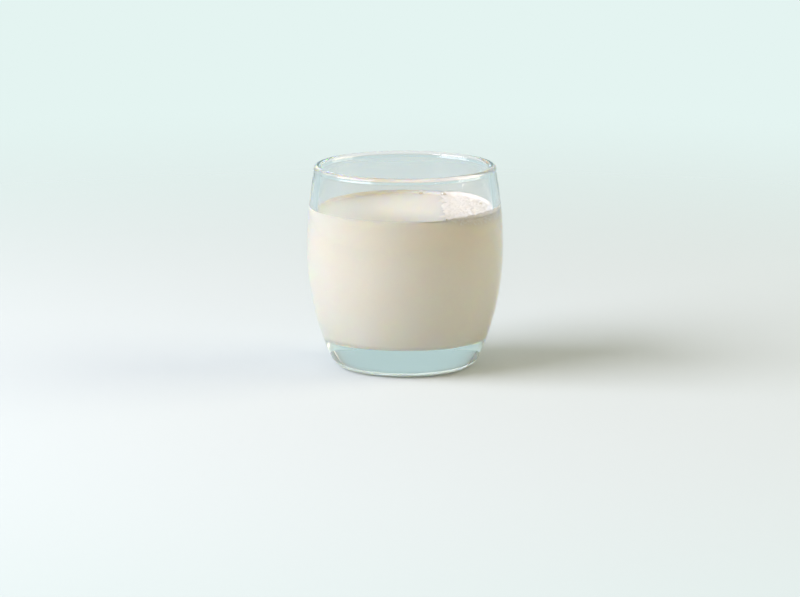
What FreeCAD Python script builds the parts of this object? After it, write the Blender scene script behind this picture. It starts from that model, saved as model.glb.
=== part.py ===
import FreeCAD, Part

import math
import os

# A glass of milk: a pressed soda-lime tumbler with a swelling belly, a thick clear base and a
# fire-polished rim, filled with milk up to a little under the rim.
# Millimetres, +Z up. The origin is on the axis, on the plane that the foot rests on.

# ---- the tumbler's outside ----
TUMBLER_HEIGHT = 87.2
BELLY_RADIUS = 42.0      # the widest ring
BELLY_HEIGHT = 51.5      # how high the widest ring lies
FOOT_DRAW_IN = 17.0      # from the widest ring in to where the foot lies flat
HEEL_BEND = 7.5          # the round between foot and belly
RIM_DRAW_IN = 3.0        # from the widest ring in to the rim's outer edge

# ---- the wall, and the rim, rounded and a little swollen by the flame ----
WALL_THICKNESS = 3.4     # at the widest ring
RIM_THICKNESS = 3.3
RIM_SWELL = 0.3          # how far the rim's bead stands out past the wall under it
WAIST_ROUND = 0.8        # the soft hollow between the bead and the wall

# ---- the foot: a narrow flat ring, rounded off inwards to a recess with a domed floor ----
REST_RING_WIDTH = 1.5
RING_INNER_BEND = 6.0
RECESS_DEPTH = 1.2       # at the dome's edge
DOME_HEIGHT = 0.7        # from its edge to its middle

# ---- the bottom of the cup ----
BASE_THICKNESS = 13.3    # from the plane of the foot up to the cup's floor
FLOOR_DRAW_IN = 9.0      # from the cup's widest ring in to its flat floor
CUP_CORNER_BEND = 3.0

# ---- the milk ----
HEADSPACE = 18.2         # from the top of the rim down to the milk's edge on the wall
MENISCUS_RISE = 1.2      # how far that edge climbs above the flat of the milk
MENISCUS_BEND = 2.5

AXIS_POINT = FreeCAD.Vector(0, 0, 0)
AXIS_DIRECTION = FreeCAD.Vector(0, 0, 1)
DOWN = -math.pi / 2
UP = math.pi / 2


def at(radius, height):
    """A point of an outline, by its distance from the axis and its height."""
    return FreeCAD.Vector(radius, 0, height)


def on_circle(centre, bend, angle):
    """The point of a circle at an angle, counted from straight outwards towards up."""
    return centre + at(bend * math.cos(angle), bend * math.sin(angle))


def angle_towards(start, end):
    """The angle at which one point of an outline sees another."""
    way = end - start
    return math.atan2(way.z, way.x)


def arc(centre, bend, start, end):
    """An arc of an outline, from one angle to the other."""
    first = on_circle(centre, bend, start)
    middle = on_circle(centre, bend, (start + end) / 2)
    last = on_circle(centre, bend, end)
    return Part.Arc(first, middle, last).toShape()


def line(first, last):
    return Part.LineSegment(first, last).toShape()


def wall_under_rim(end):
    """The arc that stands upright at the widest ring and passes through a point above it.

    Returns its centre and its bend."""
    inset = BELLY_RADIUS - end.x
    rise = end.z - BELLY_HEIGHT
    bend = (inset**2 + rise**2) / (2 * inset)
    return at(BELLY_RADIUS - bend, BELLY_HEIGHT), bend


def wall_over_corner(wall_radius, corner_centre, corner_bend):
    """The arc that stands upright at the widest ring and runs smoothly into a corner below it.

    Returns its centre, its bend and the angle at which it meets the corner."""
    inset = wall_radius - corner_centre.x
    drop = BELLY_HEIGHT - corner_centre.z
    bend = (inset**2 + drop**2 - corner_bend**2) / (2 * (inset - corner_bend))
    centre = at(wall_radius - bend, BELLY_HEIGHT)
    return centre, bend, angle_towards(centre, corner_centre)


def wall_beside_bead(wall_radius, bead_centre, bead_bend):
    """The arc that stands upright at the widest ring and touches the rim's bead from inside.

    Returns its centre and its bend."""
    inset = wall_radius - bead_centre.x
    rise = bead_centre.z - BELLY_HEIGHT
    bend = (inset**2 + rise**2 - bead_bend**2) / (2 * (inset + bead_bend))
    return at(wall_radius - bend, BELLY_HEIGHT), bend


# ---- sizes that follow from the ones above ----
FOOT_RADIUS = BELLY_RADIUS - FOOT_DRAW_IN
DOME_TOP = RECESS_DEPTH + DOME_HEIGHT
RIM_RADIUS = BELLY_RADIUS - RIM_DRAW_IN
BEAD_BEND = RIM_THICKNESS / 2
BEAD_CENTRE = at(RIM_RADIUS - BEAD_BEND, TUMBLER_HEIGHT - BEAD_BEND)
HIGH_CENTRE, HIGH_BEND = wall_under_rim(BEAD_CENTRE + at(BEAD_BEND - RIM_SWELL, 0))
CUP_RADIUS = BELLY_RADIUS - WALL_THICKNESS
CUP_HIGH_CENTRE, CUP_HIGH_BEND = wall_beside_bead(CUP_RADIUS, BEAD_CENTRE, BEAD_BEND)
CUP_CORNER = at(CUP_RADIUS - FLOOR_DRAW_IN, BASE_THICKNESS + CUP_CORNER_BEND)
MILK_EDGE_HEIGHT = TUMBLER_HEIGHT - HEADSPACE
MILK_LEVEL = MILK_EDGE_HEIGHT - MENISCUS_RISE


def foot_outline():
    """From the axis out over the dome, the round of the recess and the resting ring."""
    ring_inner = FOOT_RADIUS - REST_RING_WIDTH
    round_centre = at(ring_inner, RING_INNER_BEND)
    round_start = DOWN - math.acos(1 - RECESS_DEPTH / RING_INNER_BEND)
    dome_edge = on_circle(round_centre, RING_INNER_BEND, round_start)
    dome_bend = (dome_edge.x**2 + DOME_HEIGHT**2) / (2 * DOME_HEIGHT)
    dome_centre = at(0, DOME_TOP - dome_bend)
    dome = arc(dome_centre, dome_bend, UP, angle_towards(dome_centre, dome_edge))
    ring_round = arc(round_centre, RING_INNER_BEND, round_start, DOWN)
    ring = line(at(ring_inner, 0), at(FOOT_RADIUS, 0))
    return [dome, ring_round, ring]


def waist_centre():
    """The centre of the small hollow arc that touches both the wall and the bead from outside."""
    gap = BEAD_CENTRE - HIGH_CENTRE
    span = gap.Length
    from_wall = HIGH_BEND + WAIST_ROUND
    from_bead = BEAD_BEND + WAIST_ROUND
    along = (from_wall**2 - from_bead**2 + span**2) / (2 * span)
    aside = math.sqrt(from_wall**2 - along**2)
    ahead = gap / span
    return HIGH_CENTRE + ahead * along + at(ahead.z, -ahead.x) * aside


def belly_outline():
    """From the foot up over the heel, the belly and the waist to the bead, and over it."""
    heel_centre = at(FOOT_RADIUS, HEEL_BEND)
    low_centre, low_bend, heel_end = wall_over_corner(BELLY_RADIUS, heel_centre, HEEL_BEND)
    hollow = waist_centre()
    wall_side = angle_towards(hollow, HIGH_CENTRE) + 2 * math.pi
    bead_side = angle_towards(hollow, BEAD_CENTRE)
    heel = arc(heel_centre, HEEL_BEND, DOWN, heel_end)
    low_belly = arc(low_centre, low_bend, heel_end, 0)
    high_belly = arc(HIGH_CENTRE, HIGH_BEND, 0, angle_towards(HIGH_CENTRE, hollow))
    waist = arc(hollow, WAIST_ROUND, wall_side, bead_side)
    bead_end = angle_towards(BEAD_CENTRE, CUP_HIGH_CENTRE) + 2 * math.pi
    bead = arc(BEAD_CENTRE, BEAD_BEND, angle_towards(BEAD_CENTRE, hollow), bead_end)
    return [heel, low_belly, high_belly, waist, bead]


def cup_outline(top_angle):
    """From an angle on the cup's upper wall down to its floor, and in to the axis."""
    low_centre, low_bend, corner_end = wall_over_corner(CUP_RADIUS, CUP_CORNER, CUP_CORNER_BEND)
    high_wall = arc(CUP_HIGH_CENTRE, CUP_HIGH_BEND, top_angle, 0)
    low_wall = arc(low_centre, low_bend, 0, corner_end)
    corner = arc(CUP_CORNER, CUP_CORNER_BEND, corner_end, DOWN)
    floor = line(at(CUP_CORNER.x, BASE_THICKNESS), at(0, BASE_THICKNESS))
    return [high_wall, low_wall, corner, floor]


def turned(edges):
    """The solid that a closed outline sweeps in a full turn about the axis."""
    face = Part.Face(Part.Wire(edges))
    return face.revolve(AXIS_POINT, AXIS_DIRECTION, 360)


def tumbler():
    outline = foot_outline() + belly_outline()
    outline += cup_outline(angle_towards(CUP_HIGH_CENTRE, BEAD_CENTRE))
    outline.append(line(at(0, BASE_THICKNESS), at(0, DOME_TOP)))
    return turned(outline)


def milk():
    """The drink: it fills the cup exactly, and its surface climbs a little where it wets the wall."""
    edge_angle = math.asin((MILK_EDGE_HEIGHT - BELLY_HEIGHT) / CUP_HIGH_BEND)
    edge = on_circle(CUP_HIGH_CENTRE, CUP_HIGH_BEND, edge_angle)
    climb = math.acos(1 - MENISCUS_RISE / MENISCUS_BEND)
    flat_radius = edge.x - MENISCUS_BEND * math.sin(climb)
    bend_centre = at(flat_radius, MILK_LEVEL + MENISCUS_BEND)
    surface = line(at(0, MILK_LEVEL), at(flat_radius, MILK_LEVEL))
    meniscus = arc(bend_centre, MENISCUS_BEND, DOWN, DOWN + climb)
    outline = [surface, meniscus] + cup_outline(edge_angle)
    outline.append(line(at(0, BASE_THICKNESS), at(0, MILK_LEVEL)))
    return turned(outline)


def main():
    os.makedirs("parts", exist_ok=True)
    nodes = {"tumbler": tumbler(), "milk": milk()}
    print(f"belly bends {HIGH_BEND:.1f} mm outside and {CUP_HIGH_BEND:.1f} mm inside")
    for name, solid in nodes.items():
        box = solid.BoundBox
        print(f"{name}: valid {solid.isValid()}, {solid.ShapeType}, {solid.Volume / 1000:.1f} cm3,"
              f" {box.XLength:.2f} x {box.YLength:.2f} x {box.ZLength:.2f} mm, {len(solid.Faces)} faces")
        solid.exportStep(f"parts/{name}.step")


main()
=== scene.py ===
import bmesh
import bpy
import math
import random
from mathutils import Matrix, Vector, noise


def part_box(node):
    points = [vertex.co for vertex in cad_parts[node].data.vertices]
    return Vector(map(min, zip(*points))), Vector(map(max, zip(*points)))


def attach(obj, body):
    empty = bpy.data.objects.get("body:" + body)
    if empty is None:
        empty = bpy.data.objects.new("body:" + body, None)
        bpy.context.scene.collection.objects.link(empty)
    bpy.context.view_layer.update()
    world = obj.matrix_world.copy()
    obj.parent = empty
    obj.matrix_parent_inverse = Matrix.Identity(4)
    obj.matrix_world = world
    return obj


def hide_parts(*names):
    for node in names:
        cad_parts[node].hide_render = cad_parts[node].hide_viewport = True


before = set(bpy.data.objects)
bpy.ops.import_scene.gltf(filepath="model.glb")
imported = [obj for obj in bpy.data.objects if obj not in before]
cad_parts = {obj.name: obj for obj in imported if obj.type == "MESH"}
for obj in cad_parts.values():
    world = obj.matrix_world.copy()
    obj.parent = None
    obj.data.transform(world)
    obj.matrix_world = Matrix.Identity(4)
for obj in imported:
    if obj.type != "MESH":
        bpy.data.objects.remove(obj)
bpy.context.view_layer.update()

# %% [markdown]
# A glass of milk
#
# The object is a pressed soda-lime tumbler with a swelling belly and a thick clear base, filled
# with whole milk. Fine froth lies on one side of the surface, with a few larger bubbles in it.
# The CAD model that was just loaded fixes every size. Its two pieces, tumbler and milk, are
# replaced here by finer meshes of the same size, and the froth is added to them.

# %% Modules, and the CAD model's box

# %% [markdown]
# Sizes
#
# A glassmaker draws half of a tumbler's outline, and the rest follows from the turn. The height,
# the widest ring, the base and the milk's edge are read from the CAD model. The other sizes are
# the bends and walls that the solids were built with.

# %% The sizes of the outline, in metres

MM = 0.001
_, tumbler_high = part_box("tumbler")
milk_low, milk_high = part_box("milk")

TUMBLER_HEIGHT = tumbler_high.z
BELLY_RADIUS = tumbler_high.x
BELLY_HEIGHT = 51.5 * MM
FOOT_RADIUS = BELLY_RADIUS - 17.0 * MM
HEEL_BEND = 7.5 * MM
RIM_RADIUS = BELLY_RADIUS - 3.0 * MM
WALL_THICKNESS = 3.4 * MM
RIM_THICKNESS = 3.3 * MM
RIM_SWELL = 0.3 * MM
WAIST_ROUND = 0.8 * MM
REST_RING_WIDTH = 1.5 * MM
RING_INNER_BEND = 6.0 * MM
RECESS_DEPTH = 1.2 * MM
DOME_HEIGHT = 0.7 * MM
FLOOR_DRAW_IN = 9.0 * MM
CUP_CORNER_BEND = 3.0 * MM
CUP_FLOOR_HEIGHT = milk_low.z
MILK_EDGE_HEIGHT = milk_high.z
MENISCUS_RISE = 1.2 * MM
MENISCUS_BEND = 2.5 * MM
MILK_LEVEL = MILK_EDGE_HEIGHT - MENISCUS_RISE

print(f"tumbler {2 * BELLY_RADIUS / MM:.1f} mm wide and {TUMBLER_HEIGHT / MM:.1f} mm high,"
      f" milk from {CUP_FLOOR_HEIGHT / MM:.1f} to {MILK_EDGE_HEIGHT / MM:.1f} mm")

# %% [markdown]
# Drawing an outline with bmesh
#
# An outline could be typed in as a list of points, but a list hides what the shape is made of.
# Here one vertex walks along it: extrude makes a straight run, and spin about the centre of a
# bend leaves an arc behind, in as many short steps as the eye needs to see a smooth curve. A last
# spin about Z turns the outline into a closed solid.

# %% Helpers that draw and turn an outline

FORWARD = (0, -1, 0)    # a spin about this axis runs from outwards towards up
AROUND = 256            # segments in a full turn, fine enough for smooth refraction


def spot(radius, height):
    """A point of an outline, by its distance from the axis and its height."""
    return Vector((radius, 0, height))


def run_to(bm, tip, target, steps=1):
    """Extrudes the tip of the outline in a straight line to a point, in equal steps."""
    stride = (target - tip.co) / steps
    for _ in range(steps):
        tip = bmesh.ops.extrude_vert_indiv(bm, verts=[tip])["verts"][0]
        bmesh.ops.translate(bm, verts=[tip], vec=stride)
    return tip


def bend_to(bm, tip, centre, target, steps):
    """Spins the tip about the centre of a bend until it points at the target from there."""
    start = tip.co - centre
    end = target - centre
    turn = math.atan2(end.z, end.x) - math.atan2(start.z, start.x)
    turn = (turn + math.pi) % (2 * math.pi) - math.pi
    spun = bmesh.ops.spin(bm, geom=[tip], cent=centre, axis=FORWARD, angle=turn, steps=steps)
    return next(part for part in spun["geom_last"] if isinstance(part, bmesh.types.BMVert))


def turn_outline(bm):
    """Spins the finished outline about Z, closes the seam and the poles, and turns faces outwards."""
    bmesh.ops.spin(bm, geom=bm.verts[:] + bm.edges[:], cent=(0, 0, 0), axis=(0, 0, 1),
                   angle=2 * math.pi, steps=AROUND, use_merge=True)
    bmesh.ops.remove_doubles(bm, verts=bm.verts[:], dist=0.001 * MM)
    bmesh.ops.recalc_face_normals(bm, faces=bm.faces[:])


def finish_piece(bm, name, materials):
    """Makes a smooth shaded object of a bmesh, at the origin, with its materials."""
    mesh = bpy.data.meshes.new(name)
    bm.to_mesh(mesh)
    bm.free()
    for material in materials:
        mesh.materials.append(material)
    mesh.shade_smooth()
    piece = bpy.data.objects.new(name, mesh)
    bpy.context.scene.collection.objects.link(piece)
    print(f"{name}: {len(mesh.polygons)} faces")
    return piece


# %% [markdown]
# The centres of the bends
#
# Each wall is an arc that stands upright at the widest ring. Below, it runs smoothly into the
# bend of a corner. Above, the outer wall ends under the rim's bead and the inner wall touches the
# bead from inside. The two stay nearly the same distance apart, so what lies behind the wall shows
# in nearly its true place.

# %% Where the bends have their centres


def wall_over_corner(wall_radius, corner, corner_bend):
    """The centre of the arc that leaves the widest ring and runs into a corner below it, and the
    point where the two meet."""
    inset = wall_radius - corner.x
    drop = BELLY_HEIGHT - corner.z
    bend = (inset ** 2 + drop ** 2 - corner_bend ** 2) / (2 * (inset - corner_bend))
    centre = spot(wall_radius - bend, BELLY_HEIGHT)
    return centre, corner + (corner - centre).normalized() * corner_bend


def waist_centre(bead, bead_bend, wall, wall_bend):
    """The centre of the small hollow arc that touches both the wall and the bead from outside."""
    gap = bead - wall
    from_wall = wall_bend + WAIST_ROUND
    from_bead = bead_bend + WAIST_ROUND
    along = (from_wall ** 2 - from_bead ** 2 + gap.length_squared) / (2 * gap.length)
    aside = math.sqrt(from_wall ** 2 - along ** 2)
    ahead = gap.normalized()
    return wall + ahead * along + spot(ahead.z, -ahead.x) * aside


def wall_beside_bead(wall_radius, bead, bead_bend):
    """The centre and the bend of the arc that leaves the widest ring and touches the bead."""
    inset = wall_radius - bead.x
    rise = bead.z - BELLY_HEIGHT
    bend = (inset ** 2 + rise ** 2 - bead_bend ** 2) / (2 * (inset + bead_bend))
    return spot(wall_radius - bend, BELLY_HEIGHT), bend


BEAD_BEND = RIM_THICKNESS / 2
BEAD = spot(RIM_RADIUS - BEAD_BEND, TUMBLER_HEIGHT - BEAD_BEND)
high_inset = BELLY_RADIUS - BEAD.x - BEAD_BEND + RIM_SWELL
high_rise = BEAD.z - BELLY_HEIGHT
HIGH_BEND = (high_inset ** 2 + high_rise ** 2) / (2 * high_inset)
HIGH_WALL = spot(BELLY_RADIUS - HIGH_BEND, BELLY_HEIGHT)
WAIST = waist_centre(BEAD, BEAD_BEND, HIGH_WALL, HIGH_BEND)
CUP_RADIUS = BELLY_RADIUS - WALL_THICKNESS
CUP_HIGH_WALL, CUP_HIGH_BEND = wall_beside_bead(CUP_RADIUS, BEAD, BEAD_BEND)
CUP_CORNER = spot(CUP_RADIUS - FLOOR_DRAW_IN, CUP_FLOOR_HEIGHT + CUP_CORNER_BEND)

print(f"cup radius {CUP_RADIUS / MM:.2f} mm, outer belly bend {HIGH_BEND / MM:.1f} mm")

# %% [markdown]
# Colours and nodes
#
# Colours are written as the sRGB hex values that a paint chart gives, and one function turns
# them into the linear values that shaders use. Another adds a node with its settings and links.

# %% Helpers for materials


def linear(hex_colour):
    """The linear colour of an sRGB hex value, with an alpha of 1."""
    parts = [int(hex_colour[i:i + 2], 16) / 255 for i in (1, 3, 5)]
    return tuple(p / 12.92 if p <= 0.04045 else ((p + 0.055) / 1.055) ** 2.4 for p in parts) + (1.0,)


def node(tree, kind, settings=None, **links):
    """Adds a node. settings sets its properties, and links sets or links its inputs: an input
    goes by its name, with _ for a blank, or by _ and its number."""
    made = tree.nodes.new(kind)
    for name, value in (settings or {}).items():
        setattr(made, name, value)
    for name, value in links.items():
        key = int(name[1:]) if name[0] == "_" else name.replace("_", " ")
        if isinstance(value, bpy.types.NodeSocket):
            tree.links.new(value, made.inputs[key])
        else:
            made.inputs[key].default_value = value
    return made


def new_material(name):
    """An empty node material: the material, its tree and its output node."""
    material = bpy.data.materials.new(name)
    material.use_nodes = True
    tree = material.node_tree
    tree.nodes.clear()
    return material, tree, tree.nodes.new("ShaderNodeOutputMaterial")


# %% [markdown]
# Soda-lime glass
#
# Tableware glass is soda-lime: it bends light by 1.52, and traces of iron take a little red and
# blue out of it, so that a thick base looks faintly blue-green while a thin wall looks clear.
# The rim and the outside are fire-polished, so the surface is as smooth as glass gets.

# %% The glass material

GLASS_IOR = 1.52


def soda_lime_glass():
    """Gives the eye a clear body with bright edges, and a blue-green tint where it is thick."""
    material, tree, output = new_material("soda_lime_glass")
    body = node(tree, "ShaderNodeBsdfPrincipled", Base_Color=linear("#fefefe"), Roughness=0.0,
                IOR=GLASS_IOR, Transmission_Weight=1.0)
    depth = node(tree, "ShaderNodeVolumeAbsorption", Color=linear("#86c4b7"), Density=4.2)
    tree.links.new(body.outputs[0], output.inputs["Surface"])
    tree.links.new(depth.outputs[0], output.inputs["Volume"])
    return material


# %% [markdown]
# The tumbler
#
# The outline starts on the axis under the base and goes out over the shallow recess and the ring
# that the glass rests on, round the heel, up the belly, over the beaded rim and down the inside
# of the cup.

# %% The tumbler's outline, turned


def draw_foot(bm):
    """Draws the dome, the round of the recess and the resting ring, from the axis outwards."""
    ring_round = spot(FOOT_RADIUS - REST_RING_WIDTH, RING_INNER_BEND)
    turn = math.acos(1 - RECESS_DEPTH / RING_INNER_BEND)
    dome_edge = spot(ring_round.x - RING_INNER_BEND * math.sin(turn), RECESS_DEPTH)
    dome_bend = (dome_edge.x ** 2 + DOME_HEIGHT ** 2) / (2 * DOME_HEIGHT)
    dome_top = RECESS_DEPTH + DOME_HEIGHT
    tip = bm.verts.new(spot(0, dome_top))
    tip = bend_to(bm, tip, spot(0, dome_top - dome_bend), dome_edge, 10)
    tip = bend_to(bm, tip, ring_round, ring_round - spot(0, 1), 10)
    return run_to(bm, tip, spot(FOOT_RADIUS, 0), 2)


def draw_belly(bm, tip):
    """Draws the heel, the belly, the waist under the rim and the rim's bead."""
    heel = spot(FOOT_RADIUS, HEEL_BEND)
    low_wall, heel_end = wall_over_corner(BELLY_RADIUS, heel, HEEL_BEND)
    tip = bend_to(bm, tip, heel, heel_end, 20)
    tip = bend_to(bm, tip, low_wall, spot(BELLY_RADIUS, BELLY_HEIGHT), 36)
    tip = bend_to(bm, tip, HIGH_WALL, WAIST, 30)
    tip = bend_to(bm, tip, WAIST, BEAD, 8)
    tip = bend_to(bm, tip, BEAD, BEAD + spot(0, 1), 18)
    return bend_to(bm, tip, BEAD, CUP_HIGH_WALL, 16)


def draw_cup(bm, tip):
    """Draws the inside of the cup, from a tip on or behind its upper wall down and in to the axis."""
    low_wall, corner_start = wall_over_corner(CUP_RADIUS, CUP_CORNER, CUP_CORNER_BEND)
    tip = bend_to(bm, tip, CUP_HIGH_WALL, spot(CUP_RADIUS, BELLY_HEIGHT), 24)
    tip = bend_to(bm, tip, low_wall, corner_start, 28)
    tip = bend_to(bm, tip, CUP_CORNER, CUP_CORNER - spot(0, 1), 12)
    return run_to(bm, tip, spot(0, tip.co.z), 8)


def make_tumbler():
    bm = bmesh.new()
    draw_cup(bm, draw_belly(bm, draw_foot(bm)))
    turn_outline(bm)
    piece = finish_piece(bm, "tumbler_glass", [soda_lime_glass()])
    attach(piece, "root")
    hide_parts("tumbler")


make_tumbler()

# %% [markdown]
# Milk
#
# Whole milk is water full of fat drops and protein: light scatters a few millimetres deep and
# comes out a warm white, a little yellower where it has gone further. Its free surface has a wet
# sheen, with the IOR of milk in air, 1.35. Where it wets the wall, light comes out of glass, and
# milk bends it less by 1.35 : 1.52, which is 0.888. With that as its IOR the cup's floor mirrors
# flat light, as it does in a real glass, and the base stays clear up to the milk. On the side
# where the froth lies, bubbles too fine to see whiten the surface with a soft edge.

# %% The milk materials

MILK_IOR = 1.35
MILK_IN_GLASS_IOR = round(MILK_IOR / GLASS_IOR, 3)
MILK_TONES = ("#f8f3e8", "#faf6ee")
FROTH_WHITE = "#ededea"
FROTH_SHORE = 11 * MM    # across from the axis to where the milk begins to whiten
SHORE_WIDTH = 20 * MM    # over which it does so
SHORE_DRIFT = 16 * MM    # how far the shore wanders


def froth_film(tree, place, tone):
    """Whitens a colour beyond the froth's shore, with a soft and uneven edge."""
    split = node(tree, "ShaderNodeSeparateXYZ", Vector=place.outputs["Object"])
    ragged = node(tree, "ShaderNodeTexNoise", Vector=place.outputs["Object"], Scale=0.17 / MM, Detail=4.0)
    drift = node(tree, "ShaderNodeMath", {"operation": "MULTIPLY_ADD"}, _0=ragged.outputs["Fac"],
                 _1=SHORE_DRIFT, _2=split.outputs["X"])
    cover = node(tree, "ShaderNodeMapRange", {"interpolation_type": "SMOOTHSTEP"},
                 Value=drift.outputs[0], From_Min=FROTH_SHORE, From_Max=FROTH_SHORE + SHORE_WIDTH)
    mix = node(tree, "ShaderNodeMix", {"data_type": "RGBA"}, Factor=cover.outputs[0], _6=tone,
               _7=linear(FROTH_WHITE))
    return mix.outputs[2]


def whole_milk(name, ior, roughness, with_froth):
    """Gives the eye a warm white body with soft shadows, clouded a little by its own slow stir."""
    material, tree, output = new_material(name)
    place = node(tree, "ShaderNodeTexCoord")
    clouds = node(tree, "ShaderNodeTexNoise", Vector=place.outputs["Object"], Scale=0.06 / MM, Detail=2.0)
    tones = node(tree, "ShaderNodeMix", {"data_type": "RGBA"}, Factor=clouds.outputs["Fac"],
                 _6=linear(MILK_TONES[0]), _7=linear(MILK_TONES[1]))
    tone = froth_film(tree, place, tones.outputs[2]) if with_froth else tones.outputs[2]
    body = node(tree, "ShaderNodeBsdfPrincipled", Base_Color=tone, Roughness=roughness, IOR=ior,
                Subsurface_Weight=1.0, Subsurface_Scale=3 * MM, Subsurface_Radius=(1.0, 0.8, 0.45))
    tree.links.new(body.outputs[0], output.inputs["Surface"])
    return material


# %% [markdown]
# The milk's body
#
# The milk has the shape of the cup that holds it. Its mesh reaches a little into the glass, so
# that no film of air shows between the two. At the top the surface climbs the wall in a small
# meniscus.

# %% The milk's outline, turned

WALL_REACH = 0.15 * MM


def cup_wall(height):
    """The point of the cup's upper wall at a height."""
    run = math.sqrt(CUP_HIGH_BEND ** 2 - (height - BELLY_HEIGHT) ** 2)
    return spot(CUP_HIGH_WALL.x + run, height)


MILK_EDGE = cup_wall(MILK_EDGE_HEIGHT)
MENISCUS_RUN = MENISCUS_BEND * math.sin(math.acos(1 - MENISCUS_RISE / MENISCUS_BEND))
MENISCUS = spot(MILK_EDGE.x - MENISCUS_RUN, MILK_LEVEL + MENISCUS_BEND)


def make_milk():
    bm = bmesh.new()
    tip = bm.verts.new(spot(0, MILK_LEVEL))
    tip = run_to(bm, tip, spot(MENISCUS.x, MILK_LEVEL), 24)
    tip = bend_to(bm, tip, MENISCUS, MILK_EDGE, 10)
    behind_wall = MILK_EDGE + (MILK_EDGE - CUP_HIGH_WALL).normalized() * WALL_REACH
    draw_cup(bm, run_to(bm, tip, behind_wall))
    turn_outline(bm)
    against_glass = whole_milk("whole_milk_against_glass", MILK_IN_GLASS_IOR, 0.0, False)
    surface = whole_milk("whole_milk_surface", MILK_IOR, 0.25, True)
    piece = finish_piece(bm, "milk_body", [against_glass, surface])
    for face in piece.data.polygons:
        is_surface = face.center.z > MILK_LEVEL - 0.1 * MM and face.normal.z > 0.3
        face.material_index = int(is_surface)
    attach(piece, "root")
    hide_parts("milk")


make_milk()

# %% [markdown]
# Where the froth lies
#
# Poured milk keeps a raft of froth on the side where the stream came down. Its shore is uneven,
# and towards the wall it grows to about a millimetre thick. One function says how thick it is at
# a place, so that the raft and the bubbles agree.

# %% The raft's thickness

RAFT_SET_BACK = 5 * MM       # from where the milk begins to whiten to the raft's edge
RAFT_RAGGED = 4 * MM         # how far that edge wanders
RAFT_SUNK = 0.25 * MM        # how far under the milk the sheet lies where there is no froth
RAFT_EDGE = 0.45 * MM        # how far it comes up at the edge
RAFT_SWELL = 0.75 * MM       # how much more towards the wall


def ease(low, high, value):
    """Runs smoothly from 0 at low to 1 at high."""
    t = min(max((value - low) / (high - low), 0), 1)
    return t * t * (3 - 2 * t)


def milk_surface(radius):
    """The height of the milk's surface: flat, then up the meniscus."""
    climb = min(max(radius - MENISCUS.x, 0), MENISCUS_RUN)
    return MENISCUS.z - math.sqrt(MENISCUS_BEND ** 2 - climb ** 2)


def raft_thickness(place):
    """How thick the froth is over the milk, and below zero where there is none."""
    ragged = noise.fractal(Vector((place.x, place.y, 0)) * (0.13 / MM), 1.0, 2.0, 3) * RAFT_RAGGED
    past_edge = place.x - FROTH_SHORE - RAFT_SET_BACK + ragged
    edge = RAFT_EDGE * ease(-2 * MM, 2 * MM, past_edge)
    return edge + RAFT_SWELL * ease(0, 16 * MM, past_edge) - RAFT_SUNK


print("froth at the right wall:", round(raft_thickness(Vector((MILK_EDGE.x, 0, 0))) / MM, 2), "mm thick")

# %% [markdown]
# Froth
#
# Froth is a pack of bubbles whose walls are films of milk, and it scatters light so often that
# it comes out whiter than the milk. Its bubbles are too many to model one by one. A fine sheet
# gets their tops as small domes, and a Voronoi bump adds the ones that are finer than the mesh.

# %% The froth material

THIN_FROTH = "#e8e2d4"
BUBBLE_WHITE = "#fffefa"


def milk_froth(name, thins_out, glow):
    """Gives the eye a bright white foam, grained by bubbles half a millimetre wide."""
    material, tree, output = new_material(name)
    place = node(tree, "ShaderNodeTexCoord")
    cells = node(tree, "ShaderNodeTexVoronoi", Vector=place.outputs["Object"], Scale=2 / MM)
    grain = node(tree, "ShaderNodeBump", {"invert": True}, Strength=0.35, Distance=0.1 * MM,
                 Height=cells.outputs["Distance"])
    tone = froth_film(tree, place, linear(THIN_FROTH)) if thins_out else linear(BUBBLE_WHITE)
    body = node(tree, "ShaderNodeBsdfPrincipled", Base_Color=tone, Roughness=0.35, IOR=MILK_IOR,
                Subsurface_Weight=glow, Subsurface_Scale=1.5 * MM, Subsurface_Radius=(1.0, 0.92, 0.8),
                Normal=grain.outputs[0])
    tree.links.new(body.outputs[0], output.inputs["Surface"])
    return material


# %% [markdown]
# The raft
#
# A straight run is spun through part of a turn into a flat sheet, the sheet is extruded into a
# closed slab, and its top and underside are moved to their heights. The slab is sunk in the milk,
# so that light spreads in it sideways and comes out at the wall. There its lower edge rises and
# falls, as froth does where it clings to the glass.

# %% The raft, spun and lifted

RAFT_SPREAD = math.radians(78)       # how far the slab turns to both sides of +X
RAFT_INNER = 12 * MM                 # where it starts, hidden under the milk
RAFT_WALL_REACH = 0.2 * MM
RAFT_DEPTH = 2.5 * MM                # how deep its underside lies in the milk
RAFT_LIP = 0.6 * MM                  # the same at the wall, where nothing clings
BUBBLE_PITCH = 1.1 * MM
BUBBLE_COVER = 0.75                  # how far a dome reaches out, as a share of the pitch
BUBBLE_RISE = 0.32 * MM
HANG = 2.4 * MM                      # how far the froth clings down the wall
HANG_UNEVEN = 0.9 * MM
HANG_FROM, HANG_TO = -0.35, 0.3      # radians from +X between which it hangs fully


def bubble_tops(place):
    """The height of the froth's small domes at a place."""
    distance = noise.voronoi(place / BUBBLE_PITCH)[0][0]
    return BUBBLE_RISE * math.sqrt(max(0.0, 1 - (distance / BUBBLE_COVER) ** 2))


def clinging(place):
    """How far the froth hangs down the wall at a place: most on the right, nothing at the ends."""
    side = math.atan2(place.y, place.x)
    most = HANG + HANG_UNEVEN * noise.noise(Vector((side * 9, 0.5, 0)))
    return most * ease(-RAFT_SPREAD, HANG_FROM, side) * (1 - ease(HANG_TO, RAFT_SPREAD, side))


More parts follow.
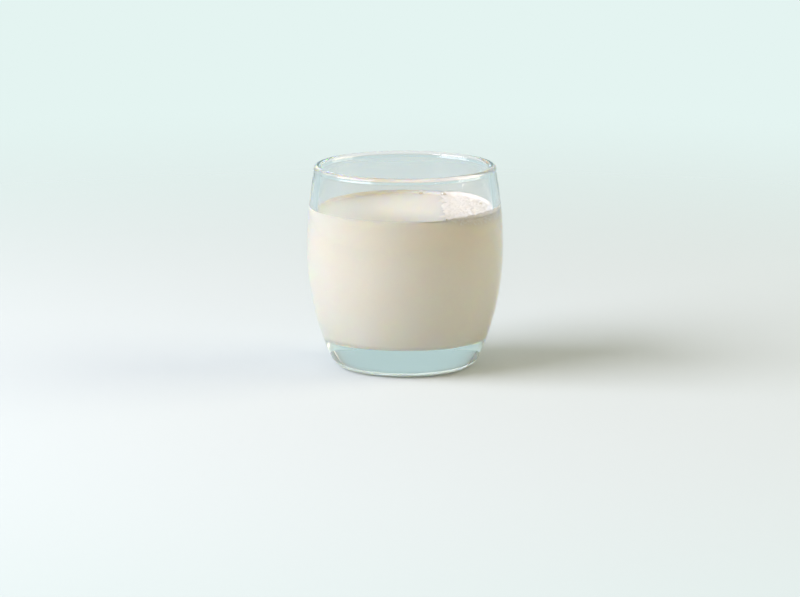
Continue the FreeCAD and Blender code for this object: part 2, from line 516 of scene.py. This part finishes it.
def make_raft():
    bm = bmesh.new()
    outer = MILK_EDGE.x + RAFT_WALL_REACH
    side = Vector((math.cos(RAFT_SPREAD), -math.sin(RAFT_SPREAD), 0))
    run_to(bm, bm.verts.new(side * RAFT_INNER), side * outer, 84)
    bmesh.ops.spin(bm, geom=bm.verts[:] + bm.edges[:], cent=(0, 0, 0), axis=(0, 0, 1),
                   angle=2 * RAFT_SPREAD, steps=300)
    top = bm.verts[:]
    slab = bmesh.ops.extrude_face_region(bm, geom=bm.faces[:], use_keep_orig=True)
    under = [part for part in slab["geom"] if isinstance(part, bmesh.types.BMVert)]
    for vert in top:
        flat = Vector((vert.co.x, vert.co.y, 0))
        thick = raft_thickness(flat)
        vert.co.z = milk_surface(flat.length) + thick + bubble_tops(flat) * ease(0, 0.4 * MM, thick)
    for vert in under:
        flat = Vector((vert.co.x, vert.co.y, 0))
        at_wall = ease(outer - 0.5 * MM, outer, flat.length)
        depth = RAFT_DEPTH + (RAFT_LIP + clinging(flat) - RAFT_DEPTH) * at_wall
        vert.co.z = milk_surface(flat.length) - depth
    bmesh.ops.recalc_face_normals(bm, faces=bm.faces[:])
    piece = finish_piece(bm, "froth_raft", [milk_froth("milk_froth", thins_out=True, glow=1.0)])
    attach(piece, "root")


make_raft()

# %% [markdown]
# Beads of froth on the wall
#
# Where the froth's lower edge touches the glass, single bubbles the size of a pinhead sit against
# the wall. Each is a small icosphere, sunk so that it only just reaches into the glass. A bead
# of fine foam is a little whiter than the milk round it.

# %% The beads

BEAD_SIDES = (-1.22, 0.25, -0.75)    # radians from +X: the ends, and where most of them sit
BEAD_SIZES = (0.25, 0.95, 0.4)       # radii in millimetres: least, most and commonest
BEAD_WALL_REACH = 0.3 * MM
random.seed(7)


def make_beads(count):
    bm = bmesh.new()
    for _ in range(count):
        side = random.triangular(*BEAD_SIDES)
        size = random.triangular(*BEAD_SIZES) * MM
        hang = clinging(Vector((math.cos(side), math.sin(side), 0)))
        height = MILK_EDGE_HEIGHT - hang - random.uniform(-0.9, 1.4) * MM
        radius = cup_wall(height).x + BEAD_WALL_REACH - size
        middle = Vector((radius * math.cos(side), radius * math.sin(side), height))
        bmesh.ops.create_icosphere(bm, subdivisions=2, radius=size, matrix=Matrix.Translation(middle))
    piece = finish_piece(bm, "froth_beads", [milk_froth("froth_bead", thins_out=False, glow=0.0)])
    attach(piece, "root")


make_beads(count=150)

# %% [markdown]
# Clear bubbles
#
# The largest bubbles are domes of clear film on the froth and the milk. Each is a whole sphere
# whose lower half is hidden in what it floats on, and solidify gives the film a thickness.

# %% The clear bubbles

FILM_IOR = 1.34
FILM_THICKNESS = 0.06 * MM
FILM_LIFT = 0.1 * MM                 # how far a bubble's middle lies above what it floats on
# Across and away from the middle, and radius, in millimetres.
CLEAR_BUBBLES = ((7.2, 34.2, 0.9), (17.3, 30.4, 1.2), (33.0, 6.0, 0.7))


def milk_film():
    """Gives the eye a thin clear dome that shines at its edge."""
    material, tree, output = new_material("milk_film")
    body = node(tree, "ShaderNodeBsdfPrincipled", Base_Color=linear("#fbfaf5"), Roughness=0.03,
                IOR=FILM_IOR, Transmission_Weight=0.9)
    tree.links.new(body.outputs[0], output.inputs["Surface"])
    return material


def make_clear_bubbles():
    bm = bmesh.new()
    for across, away, radius in CLEAR_BUBBLES:
        place = Vector((across, away, 0)) * MM
        level = milk_surface(place.length) + max(raft_thickness(place), 0) + FILM_LIFT
        middle = Matrix.Translation((place.x, place.y, level))
        bmesh.ops.create_uvsphere(bm, u_segments=20, v_segments=14, radius=radius * MM, matrix=middle)
    bmesh.ops.solidify(bm, geom=bm.faces[:], thickness=FILM_THICKNESS)
    piece = finish_piece(bm, "clear_bubbles", [milk_film()])
    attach(piece, "root")


make_clear_bubbles()

# %% [markdown]
# The floor
#
# A pale floor carries the glass's soft shadow. Further out it fades into an even backdrop, so
# that no edge of it shows.

# %% Floor

FLOOR_RADIUS = 0.8                   # metres, as are the two below
FADE_FROM, FADE_TO = 0.12, 0.75      # from the middle, between which the floor fades out


def studio_floor():
    """Gives the eye a matt pale green-blue paper that catches the shadow and then fades out."""
    material, tree, output = new_material("studio_floor")
    place = node(tree, "ShaderNodeTexCoord")
    away = node(tree, "ShaderNodeVectorMath", {"operation": "LENGTH"}, _0=place.outputs["Object"])
    fade = node(tree, "ShaderNodeMapRange", {"interpolation_type": "SMOOTHSTEP"},
                Value=away.outputs["Value"], From_Min=FADE_FROM, From_Max=FADE_TO)
    paint = node(tree, "ShaderNodeBsdfDiffuse", Color=linear("#d2dde0"))
    clear = node(tree, "ShaderNodeBsdfTransparent")
    mix = node(tree, "ShaderNodeMixShader", Fac=fade.outputs[0], _1=paint.outputs[0], _2=clear.outputs[0])
    tree.links.new(mix.outputs[0], output.inputs["Surface"])
    return material


def make_floor():
    bm = bmesh.new()
    bmesh.ops.create_circle(bm, cap_ends=True, segments=96, radius=FLOOR_RADIUS)
    finish_piece(bm, "floor", [studio_floor()])


make_floor()

# %% [markdown]
# The room
#
# A glass shows the room around it. The backdrop is an even mint, and the side towards the viewer
# and to the right is a warm room, which also warms the milk where the softbox doesn't reach. The
# ceiling is grey and dim, so that it doesn't bleach the milk's surface.

# %% World

BACKDROP = "#e4f4f1"                 # as the camera sees it
BACKDROP_GLOW = "#c6dbdd"            # as it lights the glass
WARM_ROOM = "#cbab66"
CEILING = "#a39e98"
TOWARDS_ROOM = (0.35, -0.93, -0.1)   # the way to the middle of the warm side
ROOM_EDGE = (-0.5, 0.6)              # the cosines from that way between which it turns warm
CEILING_EDGE = (0.3, 0.8)            # the heights on a unit sphere between which it turns grey


def make_world():
    world = bpy.data.worlds.new("studio")
    bpy.context.scene.world = world
    world.use_nodes = True
    tree = world.node_tree
    tree.nodes.clear()
    output = tree.nodes.new("ShaderNodeOutputWorld")
    way = node(tree, "ShaderNodeTexCoord")
    towards_room = node(tree, "ShaderNodeVectorMath", {"operation": "DOT_PRODUCT"},
                        _0=way.outputs["Generated"], _1=TOWARDS_ROOM)
    ramp = node(tree, "ShaderNodeMapRange", {"interpolation_type": "SMOOTHSTEP"},
                Value=towards_room.outputs["Value"], From_Min=ROOM_EDGE[0], From_Max=ROOM_EDGE[1])
    room = node(tree, "ShaderNodeMix", {"data_type": "RGBA"}, Factor=ramp.outputs[0],
                _6=linear(BACKDROP_GLOW), _7=linear(WARM_ROOM))
    height = node(tree, "ShaderNodeSeparateXYZ", Vector=way.outputs["Generated"])
    upward = node(tree, "ShaderNodeMapRange", {"interpolation_type": "SMOOTHSTEP"},
                  Value=height.outputs["Z"], From_Min=CEILING_EDGE[0], From_Max=CEILING_EDGE[1])
    ceiling = node(tree, "ShaderNodeMix", {"data_type": "RGBA"}, Factor=upward.outputs[0],
                   _6=room.outputs[2], _7=linear(CEILING))
    lit = node(tree, "ShaderNodeBackground", Color=ceiling.outputs[2], Strength=1.0)
    seen = node(tree, "ShaderNodeBackground", Color=linear(BACKDROP), Strength=1.0)
    path = node(tree, "ShaderNodeLightPath")
    mix = node(tree, "ShaderNodeMixShader", Fac=path.outputs["Is Camera Ray"], _1=lit.outputs[0],
               _2=seen.outputs[0])
    tree.links.new(mix.outputs[0], output.inputs["Surface"])


make_world()

# %% [markdown]
# The softboxes
#
# One large softbox stands on the left and a little in front. It models the milk from left to
# right and draws the bright streaks on the rim. A weaker warm one on the right keeps the shaded
# side from going grey.

# %% Softboxes

LIGHTS_AIM = Vector((0, 0, 45 * MM))


def make_softbox(name, azimuth, elevation, distance, width, height, power, colour):
    """A rectangular area light that looks at the middle of the glass. Azimuth counts from the
    front towards the right."""
    light = bpy.data.lights.new(name, "AREA")
    light.shape = "RECTANGLE"
    light.size = width
    light.size_y = height
    light.energy = power
    light.color = linear(colour)[:3]
    lamp = bpy.data.objects.new(name, light)
    aside, up = math.radians(azimuth), math.radians(elevation)
    way = Vector((math.sin(aside) * math.cos(up), -math.cos(aside) * math.cos(up), math.sin(up)))
    seat = Matrix.Translation(LIGHTS_AIM + way * distance)
    lamp.matrix_world = seat @ way.to_track_quat("Z", "Y").to_matrix().to_4x4()
    bpy.context.scene.collection.objects.link(lamp)


make_softbox("key_softbox", azimuth=-72, elevation=31, distance=1.6, width=1.5, height=1.1,
             power=40.0, colour="#fdf7ff")
make_softbox("warm_fill", azimuth=95, elevation=25, distance=1.6, width=1.2, height=1.0,
             power=12.5, colour="#fff0d6")

# %% [markdown]
# The camera
#
# It looks down on the glass by eleven degrees from two metres away, through a long lens, so the
# rim shows as a narrow ellipse and the sides stay nearly parallel.

# %% Camera

CAMERA_SEAT = (-2.14 * MM, -2000.0 * MM, 415.2 * MM)
CAMERA_TILT = math.radians(79.07)    # from straight down
LENS = 213.6                         # millimetres, on a sensor 36 mm wide


def make_camera():
    camera = bpy.data.cameras.new("camera")
    camera.sensor_width = 36.0
    camera.lens = LENS
    camera.clip_start = 0.1
    camera.clip_end = 20
    seat = bpy.data.objects.new("camera", camera)
    seat.location = CAMERA_SEAT
    seat.rotation_euler = (CAMERA_TILT, 0, 0)
    bpy.context.scene.collection.objects.link(seat)
    bpy.context.scene.camera = seat


make_camera()

# %% [markdown]
# The end
#
# The plain Standard view keeps the pale colours as they were mixed. Light crosses the wall and the
# base many times, so it is let bounce more often than usual.

# %% View transform and bounces

scene = bpy.context.scene
scene.view_settings.view_transform = "Standard"
scene.cycles.max_bounces = 24
scene.cycles.transmission_bounces = 24
scene.cycles.glossy_bounces = 12
